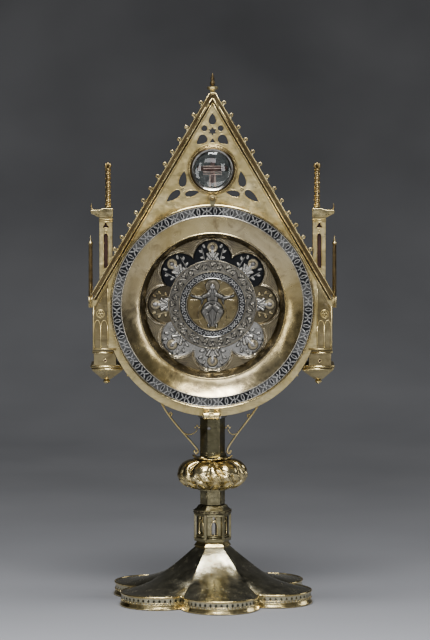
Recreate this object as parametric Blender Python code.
"""A gabled monstrance: a dished paten shown in a house-shaped case on a lobed foot.

Metres, +Z up. The origin is on the axis of the stem at the underside of the foot.
The shown face looks along -Y, and +X is to the viewer's right.
"""

from math import acos, atan2, cos, pi, radians, sin, sqrt, tan

import bmesh
import bpy
from mathutils import Vector

MM = 0.001
GAP = 0.3 * MM  # between neighbouring pieces

# Foot: six lobes in plan, turned a little about the stem.
FOOT_TURN = radians(6.5)
FOOT_RADIUS = 68.3 * MM
LOBE_RADIUS = 25.2 * MM
FOOT_LIP = 1.6 * MM
FOOT_WALL = 1.2 * MM
GALLERY_TOP = 8.0 * MM
DOME_TOP = 34.3 * MM
DOME_TOP_CORNER = 11.2 * MM
DOME_HOLLOW = 1.25        # power of the dome's rise; 1 would be straight facets

# Stem, bottom to top.
COLLAR_TOP = 37.5 * MM
LANTERN_TOP = 56.2 * MM
LANTERN_CORNER = 12.0 * MM
CORNICE_TOP = 61.4 * MM
KNOP_BOTTOM = 72.4 * MM
KNOP_EQUATOR = 81.2 * MM
KNOP_RADIUS = 22.9 * MM
KNOP_TOP = 91.0 * MM
STEM_CORNER = 8.1 * MM
STEM_TOP = 118.0 * MM
ROD_RADIUS = 1.8 * MM
ROD_BORE = 2.3 * MM

# Case: the front sheet, the back sheet and the walls between them.
FRONT_FACE = -13.0 * MM
SHEET = 1.5 * MM
BACK_FACE = 13.0 * MM
APEX_Z = 326.5 * MM
GABLE_HALF_ANGLE = radians(30.5)
WING_X = 77.0 * MM
WING_BOTTOM = 163.4 * MM
DRUM_RADIUS = 68.8 * MM
DRUM_Z = 189.2 * MM
DRUM_WALL_RADIUS = 68.1 * MM
WALL = 1.2 * MM

# Paten and its hinged rim.
PATEN_Z = 191.8 * MM
RIM_RADIUS = 65.8 * MM
PATEN_RADIUS = 64.5 * MM
BAND_INNER = 58.2 * MM
WELL_RADIUS = 46.7 * MM
WELL_FOOT = 43.4 * MM     # foot of the steep wall round the well
FOIL_RADIUS = 42.3 * MM
FOIL_LOBE = 12.4 * MM
MEDALLION_RADIUS = 16.0 * MM
DOOR_HOLE = 57.0 * MM
HINGE_X = -0.65 * MM
HINGE_Y = -19.5 * MM
HINGE_Z = 121.6 * MM
CATCH_Z = 261.2 * MM
CATCH_Y = -21.1 * MM

# Crystal roundel in the gable.
CRYSTAL_Z = 279.5 * MM
CRYSTAL_RADIUS = 12.9 * MM
BEZEL_RADIUS = 15.4 * MM

# Piers and what stands on them.
PIER_X = 68.7 * MM
PIER_WIDTH = 8.1 * MM
PIER_TOP = 247.9 * MM
CAP_TOP = 254.0 * MM
PINNACLE_X = 67.3 * MM
PINNACLE_TOP = 284.0 * MM
FIN_OUTER_X = 79.9 * MM
CROCKETS = 13
CROCKET_STEP = 9.1 * MM
DROP_FULLNESS = 0.77      # greatest value of sin(a) sin(a / 2) in a drop-shaped opening

SIDES = (("left", -1), ("right", 1))


# ---------------------------------------------------------------- materials

def metal(name, colour, roughness, metallic=1.0):
    """A Principled material for one piece."""
    material = bpy.data.materials.new(name)
    material.use_nodes = True
    shader = material.node_tree.nodes["Principled BSDF"]
    shader.inputs["Base Color"].default_value = (*colour, 1)
    shader.inputs["Roughness"].default_value = roughness
    shader.inputs["Metallic"].default_value = metallic
    return material


def pale_gilt(name):
    return metal(name, (0.62, 0.53, 0.31), 0.32)


def olive_gilt(name):
    return metal(name, (0.36, 0.33, 0.22), 0.36)


def bright_gilt(name):
    return metal(name, (0.72, 0.60, 0.32), 0.2)


def copper_gilt(name):
    return metal(name, (0.34, 0.21, 0.11), 0.38)


def silver(name):
    return metal(name, (0.5, 0.49, 0.48), 0.3)


# ---------------------------------------------------------------- shapes

def finish_mesh(bm, name, material, origin=(0, 0, 0), turn=0.0, smooth=True):
    """Puts a bmesh on a new object at its origin, faces out, smooth where it is round."""
    bmesh.ops.remove_doubles(bm, verts=bm.verts, dist=1e-7)
    bmesh.ops.recalc_face_normals(bm, faces=bm.faces)
    mesh = bpy.data.meshes.new(name)
    bm.to_mesh(mesh)
    bm.free()
    if smooth:
        mesh.shade_smooth()
        mesh.set_sharp_from_angle(angle=radians(35))
    item = bpy.data.objects.new(name, mesh)
    bpy.context.collection.objects.link(item)
    item.location = origin
    item.rotation_euler.z = turn
    if material is not None:
        mesh.materials.append(material)
    return item


def add_loft(bm, rings, ends="cap"):
    """Skins equal rings of points. ends is cap, wrap (last ring to first) or poles."""
    loops = [[bm.verts.new(point) for point in ring] for ring in rings]
    pairs = list(zip(loops, loops[1:]))
    if ends == "wrap":
        pairs.append((loops[-1], loops[0]))
    count = len(rings[0])
    for low, high in pairs:
        for i in range(count):
            j = (i + 1) % count
            bm.faces.new((low[i], low[j], high[j], high[i]))
    if ends == "cap":
        bm.faces.new(loops[0])
        bm.faces.new(loops[-1])


def loft(name, rings, material, ends="cap", **place):
    bm = bmesh.new()
    add_loft(bm, rings, ends)
    return finish_mesh(bm, name, material, **place)


def circle(radius, height, segments, axis="Z"):
    """Points of a circle about the Z axis, or about Y with height along Y."""
    angles = [2 * pi * i / segments for i in range(segments)]
    if axis == "Z":
        return [(radius * cos(a), radius * sin(a), height) for a in angles]
    return [(radius * cos(a), height, radius * sin(a)) for a in angles]


def turned(name, profile, segments, material, ends="poles", axis="Z", **place):
    """A turned piece from (radius, height) pairs."""
    rings = [circle(max(r, 0.0), h, segments, axis) for r, h in profile]
    return loft(name, rings, material, ends, **place)


def hex_ring(outer, inner, bottom, top):
    """The four rings of a six-sided tube whose flats face the foot's lobes."""
    return [circle(r, z, 6)
            for r, z in ((outer, bottom), (outer, top), (inner, top), (inner, bottom))]


def plate(name, outline, y_front, y_back, material, **place):
    """A sheet from an outline in X and Z."""
    rings = [[(x, y, z) for x, z in outline] for y in (y_front, y_back)]
    return loft(name, rings, material, "cap", smooth=False, **place)


def box(name, low, high, material):
    (x0, y0, z0), (x1, y1, z1) = low, high
    return plate(name, [(x0, z0), (x1, z0), (x1, z1), (x0, z1)], y0, y1, material)


def tool(item):
    """Marks an object as a cutter or an addition used by a Boolean."""
    item.hide_render = True
    item.display_type = "WIRE"
    return item


def boolean(item, operand, operation):
    modifier = item.modifiers.new(operation.title(), "BOOLEAN")
    modifier.operation = operation
    modifier.object = tool(operand)
    modifier.solver = "EXACT"


def cut(item, operand):
    boolean(item, operand, "DIFFERENCE")


def unite(item, operand):
    boolean(item, operand, "UNION")


def many(name, ring_sets, ends="cap"):
    """Several separate lofts in one tool object."""
    bm = bmesh.new()
    for rings in ring_sets:
        add_loft(bm, rings, ends)
    return finish_mesh(bm, name, None)


def through(outline, y_front, y_back):
    """The two rings of a prism along Y."""
    return [[(x, y, z) for x, z in outline] for y in (y_front, y_back)]


def ribbon(path, thickness, width, y=0.0):
    """Rings of a flat strip bent along a path in X and Z."""
    rings = []
    for i, point in enumerate(path):
        before = Vector(path[max(i - 1, 0)])
        after = Vector(path[min(i + 1, len(path) - 1)])
        along = (after - before).normalized()
        nx, nz = -along.y * thickness / 2, along.x * thickness / 2
        x, z = point
        rings.append([(x + nx, y - width / 2, z + nz), (x + nx, y + width / 2, z + nz),
                      (x - nx, y + width / 2, z - nz), (x - nx, y - width / 2, z - nz)])
    return rings


def bezier(a, b, c, d, steps):
    """Points of a cubic curve in X and Z."""
    points = []
    for i in range(steps + 1):
        t = i / steps
        weights = ((1 - t) ** 3, 3 * t * (1 - t) ** 2, 3 * t * t * (1 - t), t ** 3)
        points.append(tuple(sum(w * p[k] for w, p in zip(weights, (a, b, c, d))) for k in (0, 1)))
    return points


def roof_x(z, inset=0.0):
    """X of the raking edge at a height, moved in square to the edge."""
    return (APEX_Z - z) * tan(GABLE_HALF_ANGLE) - inset / cos(GABLE_HALF_ANGLE)


def roof_z(x, inset=0.0):
    return APEX_Z - (x + inset / cos(GABLE_HALF_ANGLE)) / tan(GABLE_HALF_ANGLE)


# ---------------------------------------------------------------- foot

def lobed_outline(inset, per_lobe=8):
    """Six round lobes, the first facing -Y, with their edge moved in by inset."""
    centre = FOOT_RADIUS - LOBE_RADIUS
    radius = LOBE_RADIUS - inset
    cusp = centre * cos(pi / 6) + sqrt(radius ** 2 - (centre * sin(pi / 6)) ** 2)
    half_arc = atan2(cusp * sin(pi / 6), cusp * cos(pi / 6) - centre)
    points = []
    for lobe in range(6):
        direction = -pi / 2 + lobe * pi / 3
        for i in range(per_lobe):
            angle = direction + half_arc * (2 * i / per_lobe - 1)
            points.append((centre * cos(direction) + radius * cos(angle),
                           centre * sin(direction) + radius * sin(angle)))
    return points


def hexagon_outline(corner, per_side=8):
    """A hexagon with flats facing the lobes, with as many points as the lobed outline."""
    points = []
    for side in range(6):
        ends = [-pi / 2 + side * pi / 3 + turn * pi / 6 for turn in (-1, 1)]
        a, b = [Vector((corner * cos(e), corner * sin(e))) for e in ends]
        points += [tuple(a.lerp(b, i / per_side)) for i in range(per_side)]
    return points


def dome_ring(share, inset, drop):
    """A level of the dome: from the lobed rim at share 0 to the hexagon at share 1."""
    rim = lobed_outline(FOOT_WALL + inset)
    top = hexagon_outline(DOME_TOP_CORNER - inset)
    height = GALLERY_TOP + GAP + (DOME_TOP - GALLERY_TOP - GAP) * share ** DOME_HOLLOW
    return [(x + (u - x) * share, y + (v - y) * share, height - drop)
            for (x, y), (u, v) in zip(rim, top)]


def make_foot():
    steps = 5
    outer = [dome_ring(i / steps, 0, 0) for i in range(steps + 1)]
    inner = [dome_ring(i / steps, FOOT_WALL, FOOT_WALL * min(1, 2 * i / steps))
             for i in reversed(range(steps + 1))]
    loft("foot_dome", outer + inner, olive_gilt("foot_dome"), "wrap", turn=FOOT_TURN)

    gallery = [(inset, z) for inset, z in ((FOOT_WALL, FOOT_LIP + GAP), (FOOT_WALL, GALLERY_TOP),
                                           (2 * FOOT_WALL, GALLERY_TOP),
                                           (2 * FOOT_WALL, FOOT_LIP + GAP))]
    rings = [[(x, y, z) for x, y in lobed_outline(inset)] for inset, z in gallery]
    loft("foot_gallery", rings, olive_gilt("foot_gallery"), "wrap", turn=FOOT_TURN)

    lip = ((0, 0), (0, 0.5 * FOOT_LIP), (0.9 * MM, FOOT_LIP), (3.4 * MM, FOOT_LIP), (3.4 * MM, 0))
    rings = [[(x, y, z) for x, y in lobed_outline(inset)] for inset, z in lip]
    loft("foot_flange", rings, olive_gilt("foot_flange"), "wrap", turn=FOOT_TURN)


def make_tie_rod():
    """The rod that draws foot, stem and case together, with its nut under the foot."""
    washer_bottom, washer_top = 30.0 * MM, 31.8 * MM
    loft("foot_washer", hex_ring(9.2 * MM, ROD_BORE, washer_bottom, washer_top),
         silver("foot_washer"), "wrap", turn=FOOT_TURN, smooth=False)
    loft("tie_nut", hex_ring(4.6 * MM, ROD_BORE, washer_bottom - 4.5 * MM, washer_bottom - GAP),
         silver("tie_nut"), "wrap", turn=FOOT_TURN, smooth=False)
    bottom, top = 23.0 * MM, 103.0 * MM
    turned("tie_rod", [(0, bottom), (ROD_RADIUS, bottom), (ROD_RADIUS, top), (0, top)], 16,
           silver("tie_rod"))


# ---------------------------------------------------------------- stem

def make_collar():
    profile = ((11.6, DOME_TOP + GAP), (11.9, DOME_TOP + 1.4 * MM), (10.6, COLLAR_TOP - 1.0 * MM),
               (10.9, COLLAR_TOP))
    rings = [circle(r * MM, z, 6) for r, z in profile]
    rings += [circle(ROD_BORE, z, 6) for z in (COLLAR_TOP, DOME_TOP + GAP)]
    loft("stem_collar", rings, pale_gilt("stem_collar"), "wrap", turn=FOOT_TURN, smooth=False)


def lancet(half_width, bottom, spring, point, steps=4):
    """A pointed opening in X and Z."""
    left = [(-half_width * cos(a), spring + (point - spring) * sin(a))
            for a in (pi / 2 * i / steps for i in range(steps))]
    right = [(-x, z) for x, z in reversed(left)]
    return [(-half_width, bottom)] + left + [(0, point)] + right + [(half_width, bottom)]


def around_stem(outline, depth_in, depth_out, face):
    """A prism through the stem wall at one of its six faces."""
    angle = face * pi / 3
    return [[(x * cos(angle) + y * sin(angle), x * sin(angle) - y * cos(angle), z)
             for x, z in outline] for y in (depth_in, depth_out)]


def make_lantern():
    bottom = COLLAR_TOP + GAP
    wall_corner = LANTERN_CORNER - 1.8 * MM
    sill, head = 2.4 * MM, 1.8 * MM
    lantern = loft("lantern_wall", hex_ring(wall_corner, wall_corner - WALL, bottom, LANTERN_TOP),
                   pale_gilt("lantern_wall"), "wrap", turn=FOOT_TURN, smooth=False)
    window = lancet(2.0 * MM, 42.4 * MM, 47.6 * MM, 51.0 * MM)
    eye = [(1.4 * MM * cos(a), 53.0 * MM + 1.4 * MM * sin(a))
           for a in (pi / 4 * i for i in range(8))]
    depths = (6.5 * MM, 11.0 * MM)
    windows = [around_stem(shape, *depths, face) for face in range(6) for shape in (window, eye)]
    cutter = many("lantern_windows", windows)
    cutter.rotation_euler.z = FOOT_TURN
    cut(lantern, cutter)

    # Corner shafts between a sill ring and a head ring, made as one frame.
    inner = wall_corner + GAP
    frame = loft("lantern_frame", hex_ring(LANTERN_CORNER, inner, bottom, bottom + sill),
                 pale_gilt("lantern_frame"), "wrap", turn=FOOT_TURN, smooth=False)
    shaft_half = 0.95 * MM
    shafts = []
    for corner in range(6):
        angle = corner * pi / 3
        middle = Vector((cos(angle), sin(angle))) * (LANTERN_CORNER + inner) / 2
        along = Vector((cos(angle), sin(angle))) * (LANTERN_CORNER - inner) / 2
        across = Vector((-sin(angle), cos(angle))) * shaft_half
        corners = [middle + along + across, middle - along + across,
                   middle - along - across, middle + along - across]
        shafts.append([[(p.x, p.y, z) for p in corners]
                       for z in (bottom + sill / 2, LANTERN_TOP - head / 2)])
    shaft_tool = many("lantern_shafts", shafts)
    shaft_tool.rotation_euler.z = FOOT_TURN
    unite(frame, shaft_tool)
    head_tool = loft("lantern_head", hex_ring(LANTERN_CORNER, inner, LANTERN_TOP - head,
                                              LANTERN_TOP), None, "wrap", turn=FOOT_TURN,
                     smooth=False)
    unite(frame, head_tool)

    turned("lantern_core", [(6.4 * MM, bottom), (6.4 * MM, LANTERN_TOP), (5.0 * MM, LANTERN_TOP),
                            (5.0 * MM, bottom)], 24, silver("lantern_core"), "wrap")

    cornice = ((12.3, 0.3), (12.5, 1.6), (10.4, 3.4), (9.2, 5.2))
    rings = [circle(r * MM, LANTERN_TOP + h * MM, 6) for r, h in cornice]
    rings += [circle(ROD_BORE, LANTERN_TOP + h * MM, 6) for h in (5.2, 0.3)]
    loft("lantern_cornice", rings, pale_gilt("lantern_cornice"), "wrap", turn=FOOT_TURN,
         smooth=False)

    loft("lower_neck", hex_ring(STEM_CORNER, 6.2 * MM, CORNICE_TOP + GAP, 71.0 * MM),
         pale_gilt("lower_neck"), "wrap", turn=FOOT_TURN, smooth=False)


def make_knop():
    """Two raised shells that meet at the widest line, between a base ring and a crest."""
    base_bottom, base_top = 71.3 * MM, KNOP_BOTTOM - GAP
    turned("knop_base_ring", [(10.3 * MM, base_bottom), (10.3 * MM, base_top),
                              (ROD_BORE, base_top), (ROD_BORE, base_bottom)], 24,
           pale_gilt("knop_base_ring"), "wrap")
    steps, segments = 5, 30
    for name, end_z, end_radius, seam in (
            ("knop_lower", KNOP_BOTTOM, 9.8 * MM, KNOP_EQUATOR - GAP / 2),
            ("knop_upper", KNOP_TOP, 10.4 * MM, KNOP_EQUATOR + GAP / 2)):
        profile = []
        for i in range(steps + 1):
            share = pi / 2 * i / steps
            profile.append((end_radius + (KNOP_RADIUS - end_radius) * cos(share),
                            seam + (end_z - seam) * sin(share)))
        inward = WALL if end_z < seam else -WALL
        inner = [(max(r - WALL, 7.5 * MM), z + inward * (i / steps))
                 for i, (r, z) in enumerate(profile)]
        turned(name, profile + inner[::-1], segments, bright_gilt(name), "wrap")

    points, tip = 12, 1.3 * MM
    bottom, top = KNOP_TOP + GAP, KNOP_TOP + 1.3 * MM
    outer = []
    for i in range(points * 4):
        angle = 2 * pi * i / (points * 4)
        radius = 11.2 * MM + tip * cos(points * angle / 2)
        outer.append((radius * cos(angle), radius * sin(angle)))
    bore = [(7.2 * MM * cos(2 * pi * i / (points * 4)), 7.2 * MM * sin(2 * pi * i / (points * 4)))
            for i in range(points * 4)]
    rings = [[(x, y, z) for x, y in ring] for ring, z in
             ((outer, bottom), (outer, top), (bore, top), (bore, bottom))]
    loft("knop_crest", rings, bright_gilt("knop_crest"), "wrap", turn=FOOT_TURN)


def make_upper_stem():
    bottom = KNOP_TOP + 1.6 * MM
    pin_z, pin_x = 111.9 * MM, -2.3 * MM
    stem = loft("upper_stem", hex_ring(STEM_CORNER, 6.4 * MM, bottom, STEM_TOP),
                olive_gilt("upper_stem"), "wrap", turn=FOOT_TURN, smooth=False)
    tang_corner, tang_bottom = 5.8 * MM, 98.0 * MM
    saddle_bottom, saddle_top = STEM_TOP + GAP, DRUM_Z - DRUM_WALL_RADIUS - GAP
    tang = loft("case_tang", [circle(tang_corner, tang_bottom, 6),
                              circle(tang_corner, saddle_bottom, 6),
                              circle(9.4 * MM, saddle_bottom, 6),
                              circle(9.4 * MM, saddle_top, 6)], silver("case_tang"), "cap",
                turn=FOOT_TURN, smooth=False)
    socket_top = 104.0 * MM
    cut(tang, turned("tang_socket", [(0, tang_bottom - MM), (ROD_BORE, tang_bottom - MM),
                                     (ROD_BORE, socket_top), (0, socket_top)], 16, None))
    for name, item in (("stem_pin_hole", stem), ("tang_pin_hole", tang)):
        hole = turned(name, [(0, -12 * MM), (1.0 * MM, -12 * MM), (1.0 * MM, 12 * MM),
                             (0, 12 * MM)], 12, None, axis="Y",
                      origin=(pin_x, 0, pin_z))
        cut(item, hole)
    face = STEM_CORNER * cos(pi / 6) + 0.6 * MM
    turned("stem_pin", [(0, -face - 0.9 * MM), (0.8 * MM, -face - 0.8 * MM), (1.3 * MM, -face),
                        (0.7 * MM, -face), (0.7 * MM, face), (0, face)], 12,
           silver("stem_pin"), axis="Y", origin=(pin_x, 0, pin_z))


def make_struts():
    """Bent strips from the foot of the upper stem to the underside of the drum."""
    ends = {"left": ((-9.4, 96.6), (-14.5, 104.0), (-28.0, 116.5), (-33.0, 127.9)),
            "right": ((9.4, 96.6), (12.5, 104.5), (24.0, 116.5), (29.0, 125.5))}
    thickness, width = 0.9 * MM, 2.6 * MM
    for side, sign in SIDES:
        control = [(x * MM, z * MM) for x, z in ends[side]]
        strut = loft("strut_" + side, ribbon(bezier(*control, 14), thickness, width),
                     bright_gilt("strut_" + side), "cap")
        # A foot that turns out, and a branch that turns in towards the stem.
        x0, z0 = control[0]
        foot = [(x0 + sign * 2.0 * MM * (1 - cos(a)), z0 + 0.6 * MM - 2.0 * MM * sin(a))
                for a in (pi * 0.8 * i / 8 for i in range(9))]
        unite(strut, loft("strut_foot_" + side, ribbon(foot, thickness, 0.9 * width), None, "cap"))
        knee = bezier(*control, 14)[6]
        branch = bezier(knee, (knee[0] - sign * 3 * MM, knee[1] - 3 * MM),
                        (sign * 11.5 * MM, knee[1] - 3 * MM), (sign * 9.6 * MM, 110.5 * MM), 8)
        unite(strut, loft("strut_branch_" + side, ribbon(branch, 0.8 * MM, 0.8 * width), None,
                          "cap"))


# ---------------------------------------------------------------- case

def case_outline(steps=36):
    """Gable, wings and the round underside, in X and Z."""
    drop = WING_BOTTOM - DRUM_Z
    start = -acos(sqrt(DRUM_RADIUS ** 2 - drop ** 2) / DRUM_RADIUS)
    arc = [start + (-pi - 2 * start) * i / steps for i in range(steps + 1)]
    under = [(DRUM_RADIUS * cos(a), DRUM_Z + DRUM_RADIUS * sin(a)) for a in arc]
    return [(0, APEX_Z), (WING_X, roof_z(WING_X)), (WING_X, WING_BOTTOM), *under,
            (-WING_X, WING_BOTTOM), (-WING_X, roof_z(WING_X))]


def round_hole(x, z, radius, segments=16):
    return [(x + radius * cos(2 * pi * i / segments), z + radius * sin(2 * pi * i / segments))
            for i in range(segments)]


def drop_hole(x, z, length, width, lean=0.0, segments=14):
    """A pointed drop, point up, leant by an angle about its middle."""
    points = []
    for i in range(segments):
        a = 2 * pi * i / segments
        taper = width / 2 * sin(a) * sin(a / 2) / DROP_FULLNESS
        along = length / 2 * cos(a)
        points.append((x + taper * cos(lean) + along * sin(lean),
                       z - taper * sin(lean) + along * cos(lean)))
    return points


def foil_hole(x, z, radius, foils, segments=24):
    """A small foiled rose with one foil upwards."""
    points = []
    for i in range(segments):
        a = 2 * pi * i / segments
        r = radius * (0.8 + 0.2 * cos(foils * (a - pi / 2)))
        points.append((x + r * cos(a), z + r * sin(a)))
    return points


def tracery():
    """The pierced openings of the gable, in X and Z."""
    shapes = [drop_hole(0, 311.9 * MM, 7.6 * MM, 4.9 * MM),
              foil_hole(0, 303.9 * MM, 2.8 * MM, 6),
              foil_hole(0, 297.8 * MM, 1.6 * MM, 3)]
    for sign in (-1, 1):
        shapes += [round_hole(sign * 5.25 * MM, 305.9 * MM, 2.0 * MM, 12),
                   drop_hole(sign * 7.1 * MM, 298.3 * MM, 8.0 * MM, 6.0 * MM, sign * 2.25),
                   drop_hole(sign * 18.8 * MM, 273.4 * MM, 10.6 * MM, 5.2 * MM, -sign * 0.15),
                   drop_hole(sign * 12.9 * MM, 264.3 * MM, 9.6 * MM, 4.3 * MM, -sign * 1.35),
                   drop_hole(sign * 25.4 * MM, 262.2 * MM, 11.6 * MM, 5.0 * MM, sign * 2.25)]
        shapes += [round_hole((sign * 18.8 + u) * MM, (266.6 + w) * MM, 0.45 * MM, 8)
                   for u, w in ((-0.75, 0), (0.75, 0), (0, -0.75), (0, 0.75))]
    return shapes


def back_openings():
    """Three plain openings of the back sheet, so that daylight shows through the tracery."""
    shapes = [[(0, 318.0 * MM), (-13.0 * MM, 293.6 * MM), (13.0 * MM, 293.6 * MM)]]
    side = [(18.0, 281.0), (33.0, 256.3), (26.0, 255.6), (7.0, 260.2), (7.0, 266.6)]
    for sign in (-1, 1):
        shapes.append([(sign * x * MM, z * MM) for x, z in side])
    return shapes


def make_case():
    front_back = FRONT_FACE + SHEET
    front = plate("gable_front", case_outline(), FRONT_FACE, front_back,
                  pale_gilt("gable_front"))
    past = 4 * MM
    openings = [round_hole(0, PATEN_Z, DOOR_HOLE, 72), round_hole(0, CRYSTAL_Z, 12.0 * MM, 32)]
    holes = [through(shape, FRONT_FACE - past, front_back + past)
             for shape in openings + tracery()]
    cut(front, many("gable_openings", holes))

    back = plate("case_back", case_outline(), BACK_FACE - SHEET, BACK_FACE,
                 pale_gilt("case_back"))
    holes = [through(shape, BACK_FACE - SHEET - past, BACK_FACE + past)
             for shape in back_openings()]
    cut(back, many("back_openings", holes))
    wall_front, wall_back = front_back + GAP, BACK_FACE - SHEET - GAP
    inside = DRUM_WALL_RADIUS - WALL
    turned("case_drum", [(DRUM_WALL_RADIUS, wall_front), (DRUM_WALL_RADIUS, wall_back),
                         (inside, wall_back), (inside, wall_front)], 72,
           pale_gilt("case_drum"), "wrap", axis="Y", origin=(0, 0, DRUM_Z))
    seat = [(62.6 * MM, FRONT_FACE - 4.0 * MM), (62.6 * MM, FRONT_FACE - GAP),
            (57.4 * MM, FRONT_FACE - GAP), (57.4 * MM, FRONT_FACE - 4.0 * MM)]
    turned("paten_seat", seat, 72, pale_gilt("paten_seat"), "wrap", axis="Y",
           origin=(0, 0, PATEN_Z))

    eaves = roof_z(WING_X)
    for side, sign in SIDES:
        slope = [(GAP / 2, roof_z(GAP / 2)), (roof_x(eaves + GAP), eaves + GAP),
                 (roof_x(eaves + GAP, WALL), eaves + GAP), (GAP / 2, roof_z(GAP / 2, WALL))]
        plate("roof_" + side, [(sign * x, z) for x, z in slope], wall_front, wall_back,
              pale_gilt("roof_" + side))
        x0, x1 = sorted((sign * (WING_X - SHEET), sign * WING_X))
        box("side_wall_" + side, (x0, wall_front, WING_BOTTOM), (x1, wall_back, eaves),
            pale_gilt("side_wall_" + side))
        make_moulding(side, sign)
        make_crocket_strip(side, sign)


def make_moulding(side, sign):
    """Two ridges and a groove along the raking edge of the front."""
    section = [(0.0, 0.0), (0.0, -1.7), (0.5, -2.1), (1.2, -1.6), (1.7, -0.8), (2.2, -1.5),
               (2.8, -1.9), (3.5, -1.3), (3.5, 0.0)]
    foot_z = roof_z(WING_X)
    at = FRONT_FACE - GAP
    top, foot = [], []
    for inset, lift in section:
        inset, y = inset * MM, at + lift * MM
        top.append((sign * GAP / 2, y, roof_z(GAP / 2, inset)))
        foot.append((sign * roof_x(foot_z, inset), y, foot_z))
    loft("gable_moulding_" + side, [top, foot], bright_gilt("gable_moulding_" + side), "cap",
         smooth=False)


def make_crocket_strip(side, sign):
    """A strip on the raking edge with a row of small buds."""
    lift, thick, front, back = GAP, 2.5 * MM, -14.8 * MM, -11.8 * MM
    upper, lower = 328.6 * MM, 199.0 * MM
    corners = [((GAP / 2, roof_z(GAP / 2, -lift)), (roof_x(upper, -lift - thick), upper)),
               ((roof_x(lower, -lift), lower), (roof_x(lower, -lift - thick), lower))]
    ends = [[(sign * inner[0], front, inner[1]), (sign * inner[0], back, inner[1]),
             (sign * outer[0], back, outer[1]), (sign * outer[0], front, outer[1])]
            for inner, outer in corners]
    strip = loft("crockets_" + side, ends, bright_gilt("crockets_" + side), "cap", smooth=False)
    along = Vector((sign * sin(GABLE_HALF_ANGLE), 0, -cos(GABLE_HALF_ANGLE)))
    out = Vector((sign * cos(GABLE_HALF_ANGLE), 0, sin(GABLE_HALF_ANGLE)))
    depth = Vector((0, 1, 0))
    start = Vector((sign * roof_x(319.6 * MM), (front + back) / 2, 319.6 * MM))
    bud = ((0, 2.3), (0.7, 2.3), (0.55, 3.0), (1.5, 4.0), (1.2, 5.2), (0, 5.7))
    buds = []
    for i in range(CROCKETS):
        foot = start + along * CROCKET_STEP * i
        rings = []
        for radius, height in bud:
            centre = foot + out * height * MM
            rings.append([tuple(centre + (along * cos(a) + depth * sin(a)) * radius * MM)
                          for a in (pi / 3 * k for k in range(6))])
        buds.append(rings)
    unite(strip, many("crocket_buds_" + side, buds, "poles"))


def make_finial():
    """A ridge cap, and the collar and spike on it."""
    reach = 3.0 * MM
    lift = GAP / sin(GABLE_HALF_ANGLE)
    low = roof_z(reach) + lift
    section = [(-reach, low), (0, APEX_Z + lift), (reach, low), (reach, low + 1.6 * MM),
               (1.4 * MM, 328.6 * MM), (-1.4 * MM, 328.6 * MM), (-reach, low + 1.6 * MM)]
    plate("ridge_cap", section, -11.0 * MM, 11.0 * MM, pale_gilt("ridge_cap"))
    collar = ((0, 328.9), (1.7, 328.9), (1.9, 330.0), (3.5, 330.4), (3.5, 331.9), (2.2, 332.2),
              (0, 332.2))
    turned("finial_collar", [(r * MM, z * MM) for r, z in collar], 16,
           bright_gilt("finial_collar"))
    spike = ((0, 332.5), (1.2, 332.5), (1.8, 334.2), (1.1, 336.0), (1.3, 337.0), (0.5, 340.0),
             (0, 341.5))
    turned("finial_spike", [(r * MM, z * MM) for r, z in spike], 12, copper_gilt("finial_spike"))


def make_roundel():
    """The crystal in its bezel, with the relic in a cup behind the front sheet."""
    place = {"axis": "Y", "origin": (0, 0, CRYSTAL_Z)}
    seat = FRONT_FACE - GAP
    inner = CRYSTAL_RADIUS + GAP
    turned("crystal_bezel", [(BEZEL_RADIUS, seat), (BEZEL_RADIUS, seat - 2.6 * MM),
                             (BEZEL_RADIUS - 0.6 * MM, seat - 3.4 * MM),
                             (inner, seat - 3.4 * MM), (inner, seat)], 36,
           copper_gilt("crystal_bezel"), "wrap", **place)
    steps, rise = 6, 4.2 * MM
    dome = [(CRYSTAL_RADIUS * sin(pi / 2 * i / steps), seat - 2.2 * MM - rise * cos(pi / 2 * i / steps))
            for i in range(steps + 1)]
    turned("crystal", dome + [(CRYSTAL_RADIUS, seat), (0, seat)], 32,
           metal("crystal", (0.85, 0.88, 0.86), 0.03, 0.0), "poles", **place)
    cup_front, floor, cup_back = FRONT_FACE + SHEET + GAP, -8.6 * MM, -7.6 * MM
    turned("relic_cup", [(13.5 * MM, cup_front), (13.5 * MM, cup_back), (0, cup_back),
                         (0, floor), (12.3 * MM, floor), (12.3 * MM, cup_front)], 32,
           silver("relic_cup"), "wrap", **place)
    arm, half, centre = 8.2 * MM, 1.3 * MM, CRYSTAL_Z + 0.5 * MM
    cross = [(-half, centre - arm), (half, centre - arm), (half, centre - half),
             (arm, centre - half), (arm, centre + half), (half, centre + half),
             (half, centre + 6 * MM), (-half, centre + 6 * MM), (-half, centre + half),
             (-arm, centre + half), (-arm, centre - half), (-half, centre - half)]
    plate("relic_cross", cross, -10.4 * MM, floor - GAP,
          metal("relic_cross", (0.16, 0.09, 0.06), 0.7, 0.0))


# ---------------------------------------------------------------- piers and corbels

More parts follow.
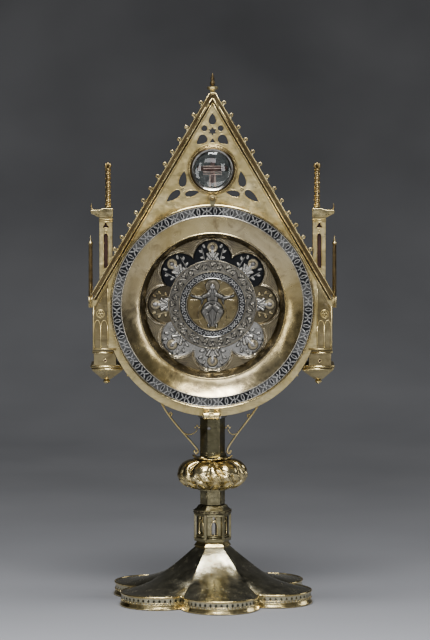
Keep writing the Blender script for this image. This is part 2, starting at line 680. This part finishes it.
def make_piers():
    half = PIER_WIDTH / 2
    inner, outer = PIER_X - half, PIER_X + half
    for side, sign in SIDES:
        shape = [(inner, roof_z(inner, -2 * GAP)), (outer, roof_z(outer, -2 * GAP)),
                 (outer, PIER_TOP), (inner, PIER_TOP)]
        plate("pier_" + side, [(sign * x, z) for x, z in shape], -half, half,
              pale_gilt("pier_" + side))
        cap = [(inner - 0.4 * MM, PIER_TOP + GAP), (outer + 0.6 * MM, PIER_TOP + GAP),
               (78.3 * MM, CAP_TOP - 3.2 * MM), (78.3 * MM, CAP_TOP - 1.2 * MM),
               (outer, CAP_TOP - 1.0 * MM), (outer - 2.5 * MM, CAP_TOP),
               (inner - 0.4 * MM, CAP_TOP)]
        plate("pier_cap_" + side, [(sign * x, z) for x, z in cap], -half - 0.5 * MM,
              half + 0.5 * MM, pale_gilt("pier_cap_" + side))
        make_pinnacle(side, sign)
        x0, x1 = sorted((sign * (WING_X + GAP), sign * FIN_OUTER_X))
        box("fin_" + side, (x0, -4.5 * MM, 190.0 * MM), (x1, 4.5 * MM, 236.5 * MM),
            copper_gilt("fin_" + side))
        make_corbel(side, sign)


def make_pinnacle(side, sign):
    """A thin spire with a row of swellings and a wider bud on top."""
    bumps = 9
    bottom, bud = CAP_TOP + GAP, PINNACLE_TOP - 3.6 * MM
    step = (bud - bottom) / bumps
    profile = [(0, bottom)]
    for i in range(bumps):
        z = bottom + i * step
        profile += [(1.15 * MM, z), (1.65 * MM, z + 0.55 * step)]
    profile += [(1.0 * MM, bud), (2.6 * MM, bud + 1.6 * MM), (1.2 * MM, bud + 3.0 * MM),
                (0, PINNACLE_TOP)]
    turned("pinnacle_" + side, profile, 8, copper_gilt("pinnacle_" + side),
           origin=(sign * PINNACLE_X, 0, 0))


def make_corbel(side, sign):
    """A block under the wing, its ledges and the pyramid that hangs below."""
    levels = ((61.0, 77.2, 163.1), (61.0, 77.2, 161.8), (62.0, 76.4, 161.4), (62.0, 76.4, 153.6),
              (56.5, 78.5, 153.2), (56.5, 78.5, 151.9), (57.6, 77.6, 151.5), (57.6, 77.6, 150.2),
              (65.9, 71.1, 143.2))
    rings = []
    for inner, outer, z in levels:
        depth = 12.8 * MM if inner < 65 else 2.6 * MM
        x0, x1 = sign * inner * MM, sign * outer * MM
        rings.append([(x0, -depth, z * MM), (x1, -depth, z * MM), (x1, depth, z * MM),
                      (x0, depth, z * MM)])
    corbel = loft("corbel_" + side, rings, bright_gilt("corbel_" + side), "cap", smooth=False)
    reach = DRUM_RADIUS + GAP
    cut(corbel, turned("corbel_clearance_" + side, [(0, -20 * MM), (reach, -20 * MM),
                                                    (reach, 20 * MM), (0, 20 * MM)], 96, None,
                       axis="Y", origin=(0, 0, DRUM_Z)))
    tip = 143.2 - 0.3
    knob = ((0, tip), (1.5, tip), (2.45, tip - 1.2), (1.4, tip - 2.4), (0, tip - 2.7))
    turned("corbel_knob_" + side, [(r * MM, z * MM) for r, z in knob], 12,
           bright_gilt("corbel_knob_" + side), origin=(sign * 68.5 * MM, 0, 0))


# ---------------------------------------------------------------- paten, hinge and catch

def foiled_radius(angle, lobes=8):
    """Radius of the eight-lobed outline at an angle."""
    centre = FOIL_RADIUS - FOIL_LOBE
    step = 2 * pi / lobes
    off = (angle - pi / 2 + step / 2) % step - step / 2
    return centre * cos(off) + sqrt(FOIL_LOBE ** 2 - (centre * sin(off)) ** 2)


def make_paten(door):
    """The dish: flat band, hollow flange, and an eight-lobed well round a medallion."""
    segments = 64
    front = [(PATEN_RADIUS, -19.6 * MM, False), (BAND_INNER, -19.6 * MM, False),
             (57.4 * MM, -19.0 * MM, False), (54.0 * MM, -16.9 * MM, False),
             (50.0 * MM, -15.2 * MM, False), (WELL_RADIUS, -14.5 * MM, False),
             (WELL_FOOT, -5.0 * MM, False), (0.5 * MM, -4.9 * MM, True),
             (-0.5 * MM, -4.9 * MM, True), (-1.1 * MM, -2.0 * MM, True)]
    back = [(WELL_FOOT + 0.8 * MM, 0.2 * MM), (WELL_RADIUS + 1.2 * MM, -13.2 * MM),
            (54.0 * MM, -15.3 * MM), (BAND_INNER, -18.4 * MM), (PATEN_RADIUS, -18.4 * MM)]
    rings = []
    for radius, y, foiled in front:
        ring = []
        for i in range(segments):
            a = 2 * pi * i / segments
            r = radius + foiled_radius(a) if foiled else radius
            ring.append((r * cos(a), y, r * sin(a)))
        rings.append(ring)
    ring_outer, ring_front, floor = 20.5 * MM, -2.0 * MM, -1.0 * MM
    inside = ((ring_outer, -1.2 * MM), (ring_outer - 0.5 * MM, ring_front),
              (MEDALLION_RADIUS + 0.4 * MM, ring_front), (MEDALLION_RADIUS, floor), (0, floor),
              (0, 0.2 * MM))
    rings += [circle(r, y, segments, "Y") for r, y in inside]
    rings += [circle(r, y, segments, "Y") for r, y in back]
    dish = loft("paten", rings, silver("paten"), "wrap")
    rim_section = ((60.6, -18.1), (64.8, -18.1), (64.8, -20.2), (65.3, -20.7), (65.8, -20.2),
                   (65.8, -17.3), (60.6, -17.3))
    rim = turned("paten_rim", [(r * MM, y * MM) for r, y in rim_section], segments,
                 bright_gilt("paten_rim"), "wrap", axis="Y")
    for item in (dish, rim):
        item.parent = door
        item.location = (-HINGE_X, -HINGE_Y, PATEN_Z - HINGE_Z)


def knuckle(name, x0, x1, material, radius=2.4 * MM):
    """A round hinge knuckle along X, drawn about the hinge axis."""
    sides = 16
    bm = bmesh.new()
    rings = [[(x, radius * cos(2 * pi * i / sides), radius * sin(2 * pi * i / sides))
              for i in range(sides)] for x in (x0, x1)]
    add_loft(bm, rings, "cap")
    return finish_mesh(bm, name, material)


def bore_along_hinge(name):
    return knuckle(name, -8 * MM, 8 * MM, None, 1.15 * MM)


def make_hinge(door):
    """Two fixed knuckles on a bracket, one moving knuckle with its leaf, and the pin."""
    half, split = 4.85 * MM, 1.55 * MM
    reach = FRONT_FACE - GAP - HINGE_Y
    bracket = box("hinge_bracket", (-half, reach - 1.0 * MM, -0.6 * MM), (half, reach, 6.0 * MM),
                  bright_gilt("hinge_bracket"))
    for i, (x0, x1) in enumerate(((-half, -split - GAP), (split + GAP, half))):
        unite(bracket, knuckle("fixed_knuckle_%d" % i, x0, x1, None))
        unite(bracket, box("fixed_arm_%d" % i, (x0 + 1e-5, 0.4 * MM, -0.5 * MM),
                           (x1 - 1e-5, reach - 0.2 * MM, 1.7 * MM), None))
    cut(bracket, bore_along_hinge("bracket_bore"))

    leaf = knuckle("hinge_leaf", -split, split, bright_gilt("hinge_leaf"))
    rim_bottom = PATEN_Z - RIM_RADIUS - HINGE_Z - GAP
    unite(leaf, box("leaf_tongue", (-split + 1e-5, -1.1 * MM, 1.0 * MM),
                    (split - 1e-5, 1.1 * MM, rim_bottom), None))
    cut(leaf, bore_along_hinge("leaf_bore"))

    bm = bmesh.new()
    pin = ((0, -6.0), (0.9, -5.9), (1.3, -5.4), (0.85, -5.1), (0.85, 5.1), (1.3, 5.4), (0.9, 5.9),
           (0, 6.0))
    rings = [[(x * MM, r * MM * cos(pi / 8 * i), r * MM * sin(pi / 8 * i)) for i in range(16)]
             for r, x in pin]
    add_loft(bm, rings, "poles")
    pin_object = finish_mesh(bm, "hinge_pin", silver("hinge_pin"))

    axis = (HINGE_X, HINGE_Y, HINGE_Z)
    for item in (bracket, pin_object):
        item.location = axis
    for name in ("fixed_knuckle_0", "fixed_knuckle_1", "fixed_arm_0", "fixed_arm_1",
                 "bracket_bore"):
        bpy.data.objects[name].location = axis
    for name in ("hinge_leaf", "leaf_tongue", "leaf_bore"):
        bpy.data.objects[name].parent = door


def make_catch():
    """A turning catch on a headed post, its tail over the top of the rim."""
    place = (0, 0, CATCH_Z)
    seat = FRONT_FACE - GAP
    front, back = CATCH_Y - 1.5 * MM, CATCH_Y
    post = [(0, seat), (2.6 * MM, seat), (2.6 * MM, seat - 1.5 * MM),
            (0.9 * MM, seat - 1.9 * MM), (0.9 * MM, front - GAP), (1.5 * MM, front - GAP),
            (1.1 * MM, front - 1.0 * MM), (0, front - 1.0 * MM)]
    turned("catch_post", post, 16, silver("catch_post"), axis="Y", origin=place)
    half, tail = 1.65 * MM, 4.5 * MM
    hub = 1.9 * MM
    outline = [(hub * cos(a), hub * sin(a)) for a in (radians(-30 + 240 * i / 12) for i in range(13))]
    outline += [(-half, -tail + 1.0 * MM), (-0.6 * MM, -tail), (0.6 * MM, -tail),
                (half, -tail + 1.0 * MM)]
    catch = plate("catch", outline, front, back, silver("catch"), origin=place)
    cut(catch, turned("catch_bore", [(0, front - MM), (1.2 * MM, front - MM),
                                     (1.2 * MM, back + MM), (0, back + MM)], 16, None, axis="Y",
                      origin=place))


def main():
    for item in list(bpy.data.objects):
        bpy.data.objects.remove(item)
    make_foot()
    make_tie_rod()
    make_collar()
    make_lantern()
    make_knop()
    make_upper_stem()
    make_struts()
    make_case()
    make_finial()
    make_roundel()
    make_piers()
    door = bpy.data.objects.new("paten_door", None)
    bpy.context.collection.objects.link(door)
    door.location = (HINGE_X, HINGE_Y, HINGE_Z)
    make_paten(door)
    make_hinge(door)
    make_catch()


main()
